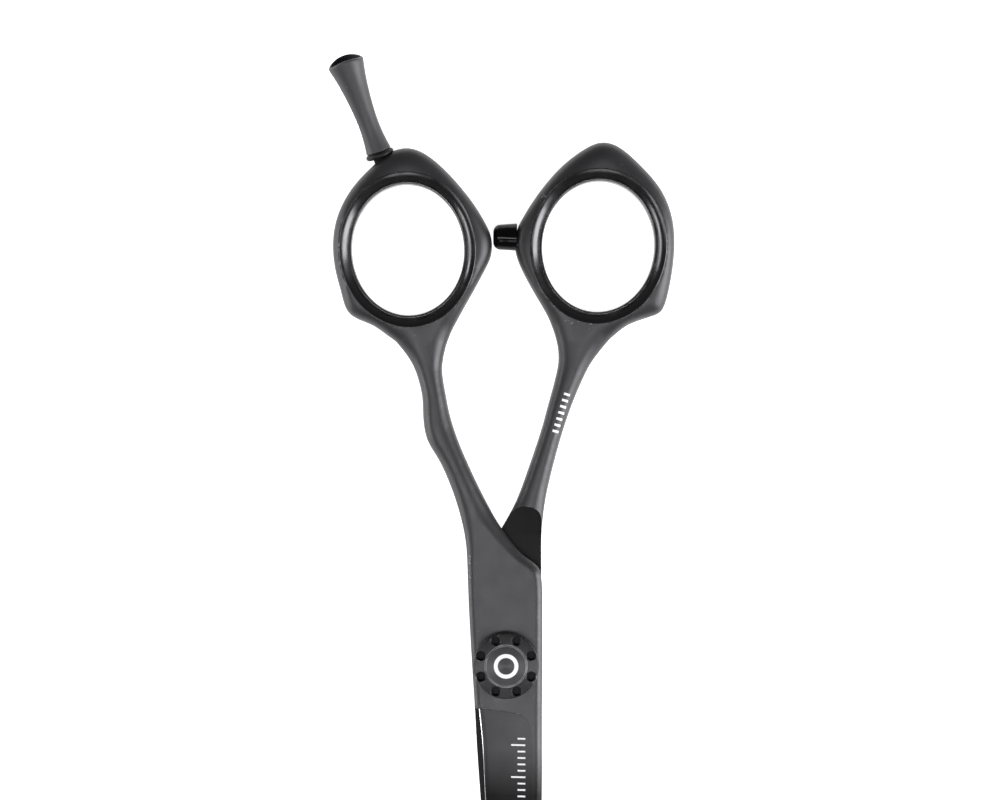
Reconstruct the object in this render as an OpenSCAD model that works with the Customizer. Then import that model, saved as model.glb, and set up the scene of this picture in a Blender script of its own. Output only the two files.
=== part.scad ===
// Hair cutting shears: two black-coated halves that cross at an adjustable pivot, with
// rubber inserts in the finger rings, a screw-in finger rest and a rubber bumper.
//
// Frame: the shears are closed and lie on the backs of the pivot bolt and of the inserts.
// The origin is where the pivot axis meets that plane. +Y runs towards the finger rings,
// -Y towards the blade tips, and +Z out of the adjusting knob. Sizes are millimetres.
//
// The finger half is in front (+Z) at the pivot. The thumb half is drawn in the same way,
// with its ring on the left, and is then turned over about the Y axis.

/* [Halves] */
// Thickness of one half at the pivot
body_thick = 2.4; // [2.2:0.05:2.6]
// Gap between the two halves
half_gap = 0.1; // [0.06:0.02:0.14]
// Thickness of the finger rings
ring_thick = 5.8; // [5.4:0.1:6]
// Radius round the pivot inside which each half keeps to its own side
relief_r = 24.4; // [23.5:0.1:25]
// Width of the chamfer along the body and the spine of the blade
edge_chamfer = 0.85; // [0.5:0.05:1]
// Thickness of a blade's spine at the tip
tip_thick = 1.2; // [0.9:0.1:1.6]

/* [Finger rings] */
// Opening across an insert
opening_w = 17.5; // [16.5:0.1:18]
// Opening along an insert
opening_h = 20.4; // [19.5:0.1:20.8]
// Wall of an insert's sleeve inside the metal ring
sleeve_wall = 0.95; // [0.7:0.05:1.1]
// Width of an insert's lip over each face of the ring
lip_w = 1.9; // [1.6:0.05:2]
// Overall thickness of an insert, which the shears rest on
insert_thick = 6.6; // [6.4:0.1:6.8]

/* [Adjusting knob] */
// Diameter of the knob
knob_d = 10.3; // [10:0.1:10.8]
// Height of the knob
knob_h = 2.5; // [2.4:0.1:2.8]
// Number of key holes in the knob
key_count = 8; // [4:1:8]
// Diameter of a key hole
key_d = 1.4; // [1:0.1:1.4]
// Diameter of the circle of key holes
key_circle_d = 8.46; // [8.3:0.02:8.6]
// Depth of a key hole
key_depth = 1.4; // [0.8:0.1:1.5]
// Diameter of the centre cap
cap_d = 6.4; // [5.8:0.1:6.4]

/* [Pivot] */
// Diameter of the bolt's head on the back
head_d = 8.4; // [7.8:0.1:9]
// Diameter of the bolt's bearing journal
journal_d = 5.6; // [5.4:0.1:5.8]
// Diameter of the bearing bush
bush_d = 7; // [6.8:0.1:7.2]
// Diameter of the bolt's threaded end
thread_d = 4.5; // [4.3:0.1:4.6]

/* [Finger rest] */
// Length of the finger rest above its seal ring
rest_len = 15.2; // [12:0.1:20]
// Diameter of the finger rest where it sits on the seal ring
rest_base_d = 4; // [3.6:0.1:4.2]
// Diameter of the finger rest at its waist
rest_waist_d = 3.2; // [3:0.1:3.6]
// Diameter of the finger rest at its dished end
rest_top_d = 5.7; // [5:0.1:6.5]
// Lean of the finger rest away from the other ring
rest_lean = 20.5; // [16:0.5:24]
// Tilt of the finger rest out of the plane of the rings
rest_tilt = 9; // [0:1:12]
// Diameter of the threaded stud
stud_d = 2.5; // [2.2:0.1:2.6]

/* [Bumper] */
// Diameter of the bumper
bumper_d = 4.3; // [4:0.1:4.4]
// How far the bumper stands out of its seat
bumper_out = 3.75; // [3:0.05:3.75]

/* [Hidden] */

$fn = 64;
curve_steps = 3;        // points between two knots of an outline
round_steps = 4;        // flats round each rounded-over edge
oval_steps = 60;        // points round a finger opening
slack = 0.02;           // clearance between pieces that touch
eps = 0.01;

face_in = half_gap / 2;
face_out = face_in + body_thick;
ring_half = ring_thick / 2;
shank_half = ring_half - 0.2;
rebate_floor = ring_half - 0.55;    // height of the floor under an insert's lip
bench = -insert_thick / 2;

coating = [0.16, 0.16, 0.17];
gloss_black = [0.05, 0.05, 0.055];
steel = [0.62, 0.63, 0.65];
bronze = [0.62, 0.47, 0.28];
nylon = [0.85, 0.84, 0.8];

// ---------------------------------------------------------------- curves and lofts

function mix(p, q, f) = p + (q - p) * f;

// Point a fraction t of the way from b to c on the smooth curve through knots a, b, c, d.
// The knots are spaced by the root of their distance, which keeps the curve free of loops.
function on_curve(a, b, c, d, t) =
    let (
        t1 = max(sqrt(norm(b - a)), eps),
        t2 = t1 + sqrt(norm(c - b)),
        t3 = t2 + max(sqrt(norm(d - c)), eps),
        s = mix(t1, t2, t),
        ab = mix(a, b, s / t1),
        bc = mix(b, c, t),
        cd = mix(c, d, (s - t2) / (t3 - t2)),
        abc = mix(ab, bc, s / t2),
        bcd = mix(bc, cd, (s - t1) / (t3 - t1))
    )
    mix(abc, bcd, t);

// Smooth open curve through the knots
function smooth(knots, steps = curve_steps) =
    let (last = len(knots) - 1)
    [
        for (i = [0 : last - 1], k = [0 : steps - 1])
            on_curve(knots[max(i - 1, 0)], knots[i], knots[i + 1],
                     knots[min(i + 2, last)], k / steps),
        knots[last]
    ];

// Smooth closed curve through the knots
function smooth_loop(knots, steps = curve_steps) =
    let (n = len(knots))
    [
        for (i = [0 : n - 1], k = [0 : steps - 1])
            on_curve(knots[(i + n - 1) % n], knots[i], knots[(i + 1) % n],
                     knots[(i + 2) % n], k / steps)
    ];

// Straight-line values between the knots, at the same steps as smooth()
function even(values, steps = curve_steps) =
    let (last = len(values) - 1)
    [
        for (i = [0 : last - 1], k = [0 : steps - 1]) mix(values[i], values[i + 1], k / steps),
        values[last]
    ];

function reversed(list) = [for (i = [len(list) - 1 : -1 : 0]) list[i]];

// Surface through a row of cross-sections, each a list of points that runs clockwise as
// seen looking along the row. A loop joins the last section to the first; otherwise both
// ends are closed flat.
module loft(sections, loop = false) {
    rows = len(sections);
    cols = len(sections[0]);
    sides = [
        for (i = [0 : rows - (loop ? 1 : 2)], j = [0 : cols - 1])
            let (
                a = i * cols,
                b = ((i + 1) % rows) * cols,
                k = (j + 1) % cols
            )
            each [[a + j, b + k, a + k], [a + j, b + j, b + k]]
    ];
    caps = loop ? [] : [
        [for (j = [0 : cols - 1]) j],
        [for (j = [cols - 1 : -1 : 0]) (rows - 1) * cols + j]
    ];
    polyhedron([for (s = sections) each s], concat(sides, caps));
}

// Rounded edge in section: [distance in from the edge, height], from the side wall up
function round_over(crown, wall, width) =
    [
        for (k = [0 : round_steps])
            let (t = 90 * k / round_steps)
            [width * (1 - cos(t)), wall + (crown - wall) * sin(t)]
    ];

// Points of a section, given as [distance from a towards b, height]
function placed(section, a, b) =
    let (u = (b - a) / norm(b - a))
    [for (p = section) [a.x + u.x * p.x, a.y + u.y * p.x, p.y]];

// Section of a shank between edge points a and b, rounded over along both edges.
// form is [height of the crown, height of the side wall, width of the rounding].
function shank_section(a, b, form) =
    let (
        w = norm(b - a),
        arc = round_over(form[0], form[1], min(form[2], 0.45 * w))
    )
    placed(concat(
        arc,
        reversed([for (p = arc) [w - p.x, p.y]]),
        [for (p = arc) [w - p.x, -p.y]],
        reversed([for (p = arc) [p.x, -p.y]])
    ), a, b);

// Section of a ring from its outline point a in to point b, rounded over at the outline
function ring_section(a, b, form) =
    let (
        w = norm(b - a),
        arc = round_over(form[0], form[1], min(form[2], 0.65 * w))
    )
    placed(concat(
        arc,
        [[w, form[0]], [w, -form[0]]],
        reversed([for (p = arc) [p.x, -p.y]])
    ), a, b);

// Section of a blade at station y, ground from a line beside the spine down to the edge
function blade_section(edge, spine, height) =
    let (
        w = spine.x - edge.x,
        back = 0.16 * w,                // width of the flat left beside the spine
        full_width = 8,                 // blades narrower than this get a smaller chamfer
        chamfer = edge_chamfer * min(1, w / full_width),
        land = 0.3
    )
    [
        [edge.x, edge.y, face_in],
        [edge.x, edge.y, face_in + land],
        [spine.x - back, spine.y, height],
        [spine.x - 0.6 * chamfer, spine.y, height],
        [spine.x, spine.y, height - 0.8 * chamfer],
        [spine.x, spine.y, face_in]
    ];

// ---------------------------------------------------------------- shape of each half

// Knots along both edges of a half from the blade up to the ring, level with each other:
// [outer edge, inner edge]. The inner edge turns the shoulder above the pivot.
finger_edges = [
    [[-4.85, -6.9], [5.6, -8.2]],
    [[-5.3, 0], [5.65, 0]],
    [[-5.75, 8], [5.65, 7.5]],
    [[-5.95, 13], [5.6, 12.6]],
    [[-6.05, 16], [5.1, 15.1]],
    [[-6.2, 18.4], [2.4, 17.3]],
    [[-6.7, 21.5], [-0.7, 21.2]],
    [[-8.1, 26.4], [-3.4, 25.9]],
    [[-10.2, 31.4], [-6.1, 31.6]],
    [[-12.3, 35], [-7.6, 35.2]],
    [[-12.9, 38], [-8.7, 38.6]],
    [[-13.1, 42], [-9.4, 42]],
    [[-14.6, 46.9], [-10, 46.2]],
    [[-17.2, 50.4], [-9.4, 50]]
];
thumb_edges = [
    [[-4.85, -6.9], [4.9, -7]],
    [[-5.3, 0], [5.15, 0]],
    [[-5.45, 8], [5.3, 7.5]],
    [[-5.5, 13], [5.3, 12.6]],
    [[-5.5, 16], [4.9, 15.1]],
    [[-5.5, 18.6], [3.1, 17.6]],
    [[-5.6, 21.5], [0.7, 21.2]],
    [[-6.2, 26], [-1.6, 25.5]],
    [[-7.3, 30.8], [-3.6, 30.9]],
    [[-8.8, 36.2], [-5.5, 36.6]],
    [[-10.2, 40.3], [-6.6, 40.6]],
    [[-11.6, 43.7], [-7.5, 43.9]],
    [[-13.3, 47.1], [-8.2, 47.2]],
    [[-16.4, 51], [-8.1, 50.8]]
];

// [crown, side wall, width of rounding] at each knot of the edges: the pivot end is flat
// with narrow chamfers, and the shank is round.
flat_form = [face_out, face_out - edge_chamfer, edge_chamfer];
round_form = [shank_half, 0.6, 3.4];
ring_form = [ring_half, 0.6, 3.4];
edge_forms = [
    for (blend = [0, 0, 0, 0, 0, 0.08, 0.25, 0.6, 1, 1, 1, 1, 1, 1])
        mix(flat_form, round_form, blend)
];

// Knots along a blade: [cutting edge, spine] at the same distance from the pivot
finger_blade = [
    [[-4.3, -6.4], [5.6, -6.4]],
    [[-3.7, -12], [5.6, -12]],
    [[-3.3, -20], [5.6, -20]],
    [[-2.7, -29], [5.35, -29]],
    [[-1.9, -38], [4.7, -38]],
    [[-0.9, -48], [3.4, -48]],
    [[-0.2, -54.5], [2.1, -54.5]],
    [[0.25, -58], [1.25, -58]],
    [[0.45, -58.7], [0.9, -58.7]]
];
thumb_blade = [
    [[-4.3, -6.4], [4.88, -6.4]],
    [[-4.4, -12], [4.6, -12]],
    [[-4.4, -20], [4.05, -20]],
    [[-4.15, -29], [3.35, -29]],
    [[-3.6, -38], [2.5, -38]],
    [[-2.6, -48], [1.35, -48]],
    [[-1.7, -54.5], [0.4, -54.5]],
    [[-1.2, -58], [-0.2, -58]],
    [[-0.9, -58.7], [-0.5, -58.7]]
];

// Knots round the outside of each finger ring. The lowest few are inside the shank.
finger_ring = [
    [-9.3, 50.3], [-8.1, 52.8], [-3.6, 61], [-2.3, 63.9], [-2.3, 66.6], [-3.3, 69],
    [-5.8, 72.9], [-10.3, 77.9], [-13.6, 80.2], [-15.8, 80.6], [-17.4, 80.2],
    [-20.8, 77.8], [-24.2, 74.1], [-26.2, 70.3], [-27, 66.5], [-26.8, 62.3],
    [-25.8, 58.3], [-24.9, 55.3], [-23.8, 54.2], [-20.6, 52.8], [-17, 50.3], [-13, 48.8]
];
thumb_ring = [
    [-7.9, 51.3], [-6.6, 54.2], [-3.7, 59.2], [-1.9, 62.9], [-1.3, 65.6], [-1.6, 67.6],
    [-2.9, 70.2], [-5.5, 74.1], [-8.9, 77.9], [-12.9, 80.8], [-15.1, 81.5],
    [-17.4, 80.9], [-20.9, 78], [-24.2, 74.1], [-25.8, 70.3], [-26.3, 66.5],
    [-26.1, 62.5], [-25.4, 58.4], [-24.7, 55.9], [-24, 54.8], [-22.4, 54.2],
    [-18.9, 52.9], [-15.6, 50.4], [-11.8, 49.2]
];

// Centre and turn of each finger opening
finger_centre = [-15.3, 64.65];
finger_turn = 3;
thumb_centre = [-14.4, 65.2];
thumb_turn = 4;

// Points round an oval that stands `grow` outside the finger opening
function oval(centre, turn, grow) =
    [
        for (i = [0 : oval_steps - 1])
            let (
                t = 360 * i / oval_steps,
                x = (opening_w / 2 + grow) * cos(t),
                y = (opening_h / 2 + grow) * sin(t)
            )
            centre + [x * cos(turn) - y * sin(turn), x * sin(turn) + y * cos(turn)]
    ];

// The finger opening's wall point nearest to the line from an outline point to the centre
function towards_opening(p, centre, grow) =
    let (
        d = p - centre,
        reach = norm([d.x / (opening_w / 2 + grow), d.y / (opening_h / 2 + grow)])
    )
    centre + d / reach;

// Body and shank of a half, before the relief is cut
module shank(edges) {
    outer = smooth([for (e = edges) e[0]]);
    inner = smooth([for (e = edges) e[1]]);
    forms = even(edge_forms);
    loft([for (i = [0 : len(outer) - 1]) shank_section(outer[i], inner[i], forms[i])]);
}

// Blade with its ground face
module blade(knots) {
    from_tip = reversed(knots);
    edge = smooth([for (k = from_tip) k[0]]);
    spine = smooth([for (k = from_tip) k[1]]);
    full_y = -12;                       // where the blade starts to thin towards its tip
    tip_y = edge[0].y;
    loft([
        for (i = [0 : len(edge) - 1])
            let (worn = max(0, (edge[i].y - full_y) / (tip_y - full_y)))
            blade_section(edge[i], spine[i], mix(face_out, face_in + tip_thick, worn))
    ]);
}

// Metal finger ring, before its opening is cut
module ring(knots, centre) {
    overlap = 0.2;                      // how far inside the cut opening the sections end
    loft([
        for (p = reversed(smooth_loop(knots)))
            ring_section(p, towards_opening(p, centre, overlap), ring_form)
    ], loop = true);
}

// Room for the other half: everything on the far side of the middle plane near the pivot
// and along the blade
module relief() {
    depth = ring_thick;
    blade_room = [40, 80, depth];
    translate([0, 0, face_in - depth]) cylinder(r = relief_r, h = depth, $fn = 128);
    translate([-blade_room.x / 2, -blade_room.y, face_in - depth]) cube(blade_room);
}

// Finger opening with a rebate in each face for the insert's lip
module opening(centre, turn) {
    linear_extrude(height = 4 * ring_thick, center = true)
        polygon(oval(centre, turn, sleeve_wall));
    for (side = [0, 1])
        mirror([0, 0, side])
            translate([0, 0, rebate_floor])
                linear_extrude(height = ring_thick)
                    polygon(oval(centre, turn, lip_w + slack));
}

// One half as a single shaped solid, ring on the left. resize() with no new size
// returns the blended shape as it is.
module half_blank(edges, blade_knots, ring_knots, centre, turn) {
    resize([0, 0, 0])
        difference() {
            union() {
                shank(edges);
                blade(blade_knots);
                ring(ring_knots, centre);
            }
            relief();
            opening(centre, turn);
        }
}

// The shapes are drawn about the middle plane between the halves, and stand this high
module on_bench() {
    translate([0, 0, insert_thick / 2]) children();
}

// ---------------------------------------------------------------- pivot sizes

washer_d = 9.6;
washer_thick = 0.5;
washer_seat = washer_thick / 2 + slack;     // height of the seat above the middle plane
washer_seat_d = washer_d + 0.2;
outer_washer_d = 8.6;
outer_washer_thick = 0.2;
bolt_key_d = 6.4;                           // keyed part of the bolt in the thumb half
bolt_key_flats = 5.4;
thread_flats = 3.9;
thread_play = 4 * slack;
journal_top = face_out + 0.2;
spring_d = 8.4;
spring_thick = 0.16;
spring_rise = 0.18;                         // height of the spring's cone
spring_z = face_out + slack + outer_washer_thick + slack;
disc_d = 8.4;
disc_thick = 0.3;
disc_z = spring_z + spring_rise + spring_thick + 1.5 * slack;
knob_z = face_out + 0.2;
knob_recess_d = 8.8;
knob_floor = disc_z + disc_thick + slack;   // underside of the knob's recess
knob_top = knob_z + knob_h;
cap_seat = knob_top - 0.5;
bolt_top = cap_seat - 0.05;

// Round bar of diameter d with two flats, from z0 to z1
module double_d(d, flats, z0, z1) {
    intersection() {
        translate([0, 0, z0]) cylinder(d = d, h = z1 - z0);
        translate([-d, -flats / 2, z0 - 1]) cube([2 * d, flats, z1 - z0 + 2]);
    }
}

// Flat ring between two diameters
module washer(inner_d, outer_d, z, thick) {
    difference() {
        translate([0, 0, z]) cylinder(d = outer_d, h = thick);
        translate([0, 0, z - 1]) cylinder(d = inner_d, h = thick + 2);
    }
}

// ---------------------------------------------------------------- the two halves

stud_depth = 2.6;
o_ring_thick = 0.95;
o_ring_d = 4.5;
spot_face_d = o_ring_d + 0.3;
bumper_stem_d = 2.2;
bumper_stem_len = 1.8;

module finger_half() {
    color(coating)
        on_bench()
        difference() {
            half_blank(finger_edges, finger_blade, finger_ring, finger_centre, finger_turn);
            cylinder(d = bush_d, h = 10);
            cylinder(d = washer_seat_d, h = washer_seat);
            on_rest_axis() {
                translate([0, 0, -stud_depth]) cylinder(d = stud_d + 2 * slack, h = 10);
                cylinder(d = spot_face_d, h = 10);
            }
        }
}

module thumb_half() {
    color(coating)
        on_bench()
        difference() {
            rotate([0, 180, 0])
                half_blank(thumb_edges, thumb_blade, thumb_ring, thumb_centre, thumb_turn);
            double_d(bolt_key_d + 2 * slack, bolt_key_flats + 2 * slack, -10, 1);
            translate([0, 0, -washer_seat]) cylinder(d = washer_seat_d, h = 1);
            on_bumper_axis() {
                translate([0, 0, -bumper_stem_len - slack])
                    cylinder(d = bumper_stem_d + 2 * slack, h = 5);
                cylinder(d = bumper_d + 0.1, h = 5);
            }
        }
}

// ---------------------------------------------------------------- ring inserts

// Rubber sleeve with a rounded lip over each face of the ring. The section is
// [distance out from the opening, height].
module ring_insert(centre, turn) {
    top = insert_thick / 2;
    under_lip = rebate_floor + slack;
    outer_wall = sleeve_wall - 1.5 * slack;
    lip_edge = lip_w - slack;
    half_section = [
        [0, top - 1.3], [0.12, top - 0.55], [0.45, top - 0.13], [0.95, top],
        [1.45, top - 0.13], [lip_edge - 0.08, top - 0.45], [lip_edge, top - 0.7],
        [lip_edge, under_lip], [outer_wall, under_lip]
    ];
    section = concat(half_section, reversed([for (p = half_section) [p.x, -p.y]]));
    rings = [for (p = section) oval(centre, turn, p.x)];
    loft([
        for (i = [0 : oval_steps - 1])
            [for (j = [0 : len(section) - 1]) [rings[j][i].x, rings[j][i].y, section[j].y]]
    ], loop = true);
}

module finger_ring_insert() {
    color(gloss_black) on_bench() ring_insert(finger_centre, finger_turn);
}

module thumb_ring_insert() {
    color(gloss_black) on_bench() rotate([0, 180, 0]) ring_insert(thumb_centre, thumb_turn);
}

// ---------------------------------------------------------------- bumper

bumper_place = [1.75, 66.7];

// Seat of the bumper on the thumb ring, with +Z out towards the finger ring
module on_bumper_axis() {
    translate([bumper_place.x, bumper_place.y, 0]) rotate([0, -90, 0]) children();
}

module bumper() {
    r = bumper_d / 2;
    nose = 1.1;
    color(gloss_black)
        on_bench()
        on_bumper_axis()
            rotate_extrude()
                polygon(concat(
                    [[0, -bumper_stem_len], [bumper_stem_d / 2, -bumper_stem_len]],
                    [[bumper_stem_d / 2, slack], [r, slack], [r, 1]],
                    [
                        for (t = [0 : 15 : 90])
                            [r - 0.15 - nose + nose * cos(t), bumper_out - nose + nose * sin(t)]
                    ],
                    [[0, bumper_out]]
                ));
}

// ---------------------------------------------------------------- finger rest

rest_foot = [-19.54, 79.18];    // where the finger rest's axis meets the seal ring's seat
rest_bore = 6;                  // depth of the bore for the stud

// Axis of the finger rest, with +Z out along it from the seal ring's seat
module on_rest_axis() {
    translate([rest_foot.x, rest_foot.y, 0])
        rotate([0, 0, rest_lean])
            rotate([rest_tilt - 90, 0, 0])
                children();
}

// Radius of the waisted stem at a fraction f of its length
function rest_radius(f) =
    let (
        waist_at = 0.3,
        below = pow(max(0, (waist_at - f) / waist_at), 2),
        above = pow(max(0, (f - waist_at) / (1 - waist_at)), 1.7)
    )
    rest_waist_d / 2
        + (rest_base_d - rest_waist_d) / 2 * below
        + (rest_top_d - rest_waist_d) / 2 * above;

module finger_rest() {
    foot = o_ring_thick + slack;
    top = foot + rest_len;
    rim = 0.35;
    dish = 1.1;
    stem_steps = 20;
    color(coating)
        on_bench()
        on_rest_axis()
            difference() {
                rotate_extrude()
                    polygon(concat(
                        [[0, foot], [rest_base_d / 2 - 0.2, foot]],
                        [
                            for (i = [0 : stem_steps])
                                let (f = i / stem_steps)
                                [rest_radius(f), foot + 0.2 + (rest_len - rim - 0.2) * f]
                        ],
                        [
                            [rest_top_d / 2 - rim * 0.8, top],
                            [rest_top_d * 0.28, top - dish * 0.75],
                            [0, top - dish]
                        ]
                    ));
                cylinder(d = stud_d + 2 * slack, h = foot + rest_bore);
            }
}

module finger_rest_stud() {
    color(steel)
        on_bench()
        on_rest_axis()
            translate([0, 0, slack - stud_depth])
                cylinder(d = stud_d, h = stud_depth + o_ring_thick + rest_bore - 0.5);
}

module finger_rest_o_ring() {
    cord = o_ring_thick - slack;
    color(gloss_black)
        on_bench()
        on_rest_axis()
            rotate_extrude()
                polygon([
                    [stud_d / 2 + slack, slack],
                    [o_ring_d / 2 - cord / 2, slack],
                    for (t = [-60 : 30 : 60])
                        [o_ring_d / 2 - cord / 2 * (1 - cos(t)), slack + cord / 2 * (1 + sin(t))],
                    [o_ring_d / 2 - cord / 2, slack + cord],
                    [stud_d / 2 + slack, slack + cord]
                ]);
}

// ---------------------------------------------------------------- pivot

module pivot_bolt() {
    head_top = -face_out - slack;
    bevel = 0.3;
    color(steel) on_bench() {
        rotate_extrude()
            polygon([
                [0, bench], [head_d / 2 - bevel, bench],
                [head_d / 2, bench + bevel], [head_d / 2, head_top],
                [0, head_top]
            ]);
        double_d(bolt_key_d, bolt_key_flats, head_top - eps, -washer_seat);
        translate([0, 0, -washer_seat - eps])
            cylinder(d = journal_d, h = journal_top + washer_seat + eps);
        double_d(thread_d, thread_flats, journal_top - eps, bolt_top);
    }
}

module bearing_bush() {
    color(bronze)
        on_bench()
        washer(journal_d + 2 * slack, bush_d - slack, washer_seat + slack,
               face_out - washer_seat - 2 * slack);
}

module inner_glide_washer() {
    color(nylon) on_bench() washer(journal_d + 4 * slack, washer_d, -washer_thick / 2, washer_thick);
}

module outer_glide_washer() {
    color(nylon) on_bench() washer(journal_d + 4 * slack, outer_washer_d, face_out + slack,
                                           outer_washer_thick);
}

// Coned spring that pushes the knob away from the finger half
module disc_spring() {
    inner = journal_d / 2 + 0.1;
    outer = spring_d / 2;
    color(steel)
        on_bench()
        rotate_extrude()
            polygon([
                [inner, spring_z + spring_rise], [outer, spring_z],
                [outer, spring_z + spring_thick],
                [inner, spring_z + spring_rise + spring_thick]
            ]);
}

// Disc keyed to the bolt's flats, with a circle of holes for the knob's clicks
module detent_disc() {
    clicks = 12;
    click_d = 0.7;
    click_circle_r = 3.3;
    color(steel)
        on_bench()
        difference() {
            translate([0, 0, disc_z]) cylinder(d = disc_d, h = disc_thick);
            double_d(thread_d + thread_play, thread_flats + thread_play, disc_z - 1, disc_z + 1);
            for (i = [1 : clicks])
                rotate([0, 0, 360 * i / clicks])
                    translate([click_circle_r, 0, disc_z - 1])
                        cylinder(d = click_d, h = 2, $fn = 24);
        }
}

module adjusting_knob() {
    r = knob_d / 2;
    bevel = 0.3;
    color(coating)
        on_bench()
        difference() {
            rotate_extrude()
                polygon([
                    [0, knob_z], [r - bevel, knob_z], [r, knob_z + bevel],
                    [r, knob_top - bevel], [r - bevel, knob_top], [0, knob_top]
                ]);
            translate([0, 0, knob_z - 1])
                cylinder(d = knob_recess_d, h = knob_floor - knob_z + 1);
            translate([0, 0, cap_seat]) cylinder(d = cap_d + 2 * slack, h = 2);
            cylinder(d = thread_d + thread_play, h = 10);
            for (i = [1 : key_count])
                rotate([0, 0, 360 * (i - 0.5) / key_count])
                    translate([key_circle_d / 2, 0, knob_top - key_depth])
                        cylinder(d = key_d, h = 3, $fn = 32);
        }
}

module knob_cap() {
    r = cap_d / 2;
    bevel = 0.15;
    z = cap_seat + slack;
    top = knob_top + 0.15;
    color(coating)
        on_bench()
        rotate_extrude()
            polygon([[0, z], [r, z], [r, top - bevel], [r - bevel, top], [0, top]]);
}

finger_half();
thumb_half();
finger_ring_insert();
thumb_ring_insert();
bumper();
finger_rest();
finger_rest_stud();
finger_rest_o_ring();
pivot_bolt();
bearing_bush();
inner_glide_washer();
outer_glide_washer();
disc_spring();
detent_disc();
adjusting_knob();
knob_cap();
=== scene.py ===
"""Looks for a pair of hair cutting shears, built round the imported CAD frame.

Lengths are millimetres until a mesh is made. Heights are measured from the middle plane
between the two halves. Each half is shaped in the finger half's own layout, with its ring
on the left and its outer face up, and the thumb half is then turned over.
"""
import math

import bmesh
import bpy
import numpy as np
from mathutils import Matrix, Vector
from mathutils.geometry import delaunay_2d_cdt


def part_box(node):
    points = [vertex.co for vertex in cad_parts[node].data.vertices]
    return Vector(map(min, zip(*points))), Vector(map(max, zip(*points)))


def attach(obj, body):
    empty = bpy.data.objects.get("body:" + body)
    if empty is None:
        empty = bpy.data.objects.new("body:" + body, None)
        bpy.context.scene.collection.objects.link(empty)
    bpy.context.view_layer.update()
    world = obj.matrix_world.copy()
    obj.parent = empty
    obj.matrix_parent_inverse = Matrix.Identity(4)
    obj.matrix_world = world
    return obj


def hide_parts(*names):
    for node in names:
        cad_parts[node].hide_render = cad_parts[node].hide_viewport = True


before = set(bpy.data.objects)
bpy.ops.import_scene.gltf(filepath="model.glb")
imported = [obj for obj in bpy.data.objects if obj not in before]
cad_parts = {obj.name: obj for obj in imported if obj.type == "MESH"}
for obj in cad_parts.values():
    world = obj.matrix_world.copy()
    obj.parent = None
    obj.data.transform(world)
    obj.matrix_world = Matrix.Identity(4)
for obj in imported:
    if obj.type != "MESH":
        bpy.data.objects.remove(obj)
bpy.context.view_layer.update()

MM = 0.001


def node_box(node):
    """Lowest and highest corner of a CAD node in millimetres."""
    low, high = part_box(node)
    return np.array(low) / MM, np.array(high) / MM


# Levels
MID = float(sum(corner[2] for corner in node_box("inner_glide_washer")) / 2)
FACE_IN = 0.05            # inner face of a half
FACE_OUT = 2.45           # outer face of a half at the pivot
RING_TOP = 2.9            # crown of a finger ring
SHANK_TOP = 2.7           # crown of a shank
TIP_THICK = 1.2           # spine of a blade at its tip
REBATE = 2.35             # floor of the rebate for an insert's lip
WELD = 0.002              # points nearer than this are one point
SHARP_ANGLE = math.radians(32)

# Places along a half
BLADE_TOP = -6.95         # where the blade starts below the pivot
TAPER_START = -12.0       # where the blade starts to thin
TIP = float(node_box("finger_half")[0][1])
SHANK_START, SHANK_FULL = 15, 31          # the flat body turns into a rounded shank here
RING_START, RING_FULL = 46, 56            # and the shank rises to the ring's crown here


# ---------------------------------------------------------------- curves in the plan

def closed_length(loop):
    steps = np.linalg.norm(np.roll(loop, -1, axis=0) - loop, axis=1)
    return np.concatenate([[0.0], np.cumsum(steps)])


def resample(loop, spacing):
    """The closed loop with evenly spaced points."""
    along = closed_length(loop)
    ring = np.vstack([loop, loop[:1]])
    count = int(round(along[-1] / spacing))
    at = np.linspace(0.0, along[-1], count, endpoint=False)
    return np.column_stack([np.interp(at, along, ring[:, k]) for k in (0, 1)])


def soften(loop, reach, spacing):
    """The closed, evenly spaced loop smoothed over a reach in millimetres."""
    half = int(math.ceil(3 * reach / spacing))
    offsets = np.arange(-half, half + 1)
    weights = np.exp(-0.5 * (offsets * spacing / reach) ** 2)
    weights /= weights.sum()
    return sum(w * np.roll(loop, -o, axis=0) for w, o in zip(weights, offsets))


def area(loop):
    x, y = loop.T
    return 0.5 * float(np.sum(x * np.roll(y, -1) - np.roll(x, -1) * y))


def counter_clockwise(loop):
    return loop if area(loop) > 0 else loop[::-1]


def outward(loop):
    """Unit normals that point out of a counter-clockwise loop."""
    along = np.roll(loop, -2, axis=0) - np.roll(loop, 2, axis=0)
    normal = np.column_stack([along[:, 1], -along[:, 0]])
    return normal / np.linalg.norm(normal, axis=1)[:, None]


def distance(points, line, closed=False):
    """Distance from each point to a polyline."""
    start = line if closed else line[:-1]
    end = np.roll(line, -1, axis=0) if closed else line[1:]
    span = end - start
    square = np.maximum((span ** 2).sum(1), 1e-12)
    best = np.full(len(points), np.inf)
    for k in range(0, len(points), 512):
        rel = points[k:k + 512, None, :] - start[None]
        t = np.clip((rel * span[None]).sum(2) / square[None], 0.0, 1.0)
        gap = rel - t[..., None] * span[None]
        best[k:k + 512] = np.sqrt((gap ** 2).sum(2)).min(1)
    return best


def inside(points, loop):
    """Which points lie inside the closed loop."""
    x, y = points[:, 0][:, None], points[:, 1][:, None]
    ax, ay = loop[:, 0][None], loop[:, 1][None]
    bx, by = np.roll(loop[:, 0], -1)[None], np.roll(loop[:, 1], -1)[None]
    crosses = (ay > y) != (by > y)
    slope = np.where(crosses, (bx - ax) * (y - ay) / np.where(by == ay, 1.0, by - ay) + ax, 0.0)
    return (crosses & (x < slope)).sum(1) % 2 == 1


def smooth_step(value, low, high):
    t = np.clip((value - low) / (high - low), 0.0, 1.0)
    return t * t * (3 - 2 * t)


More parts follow.
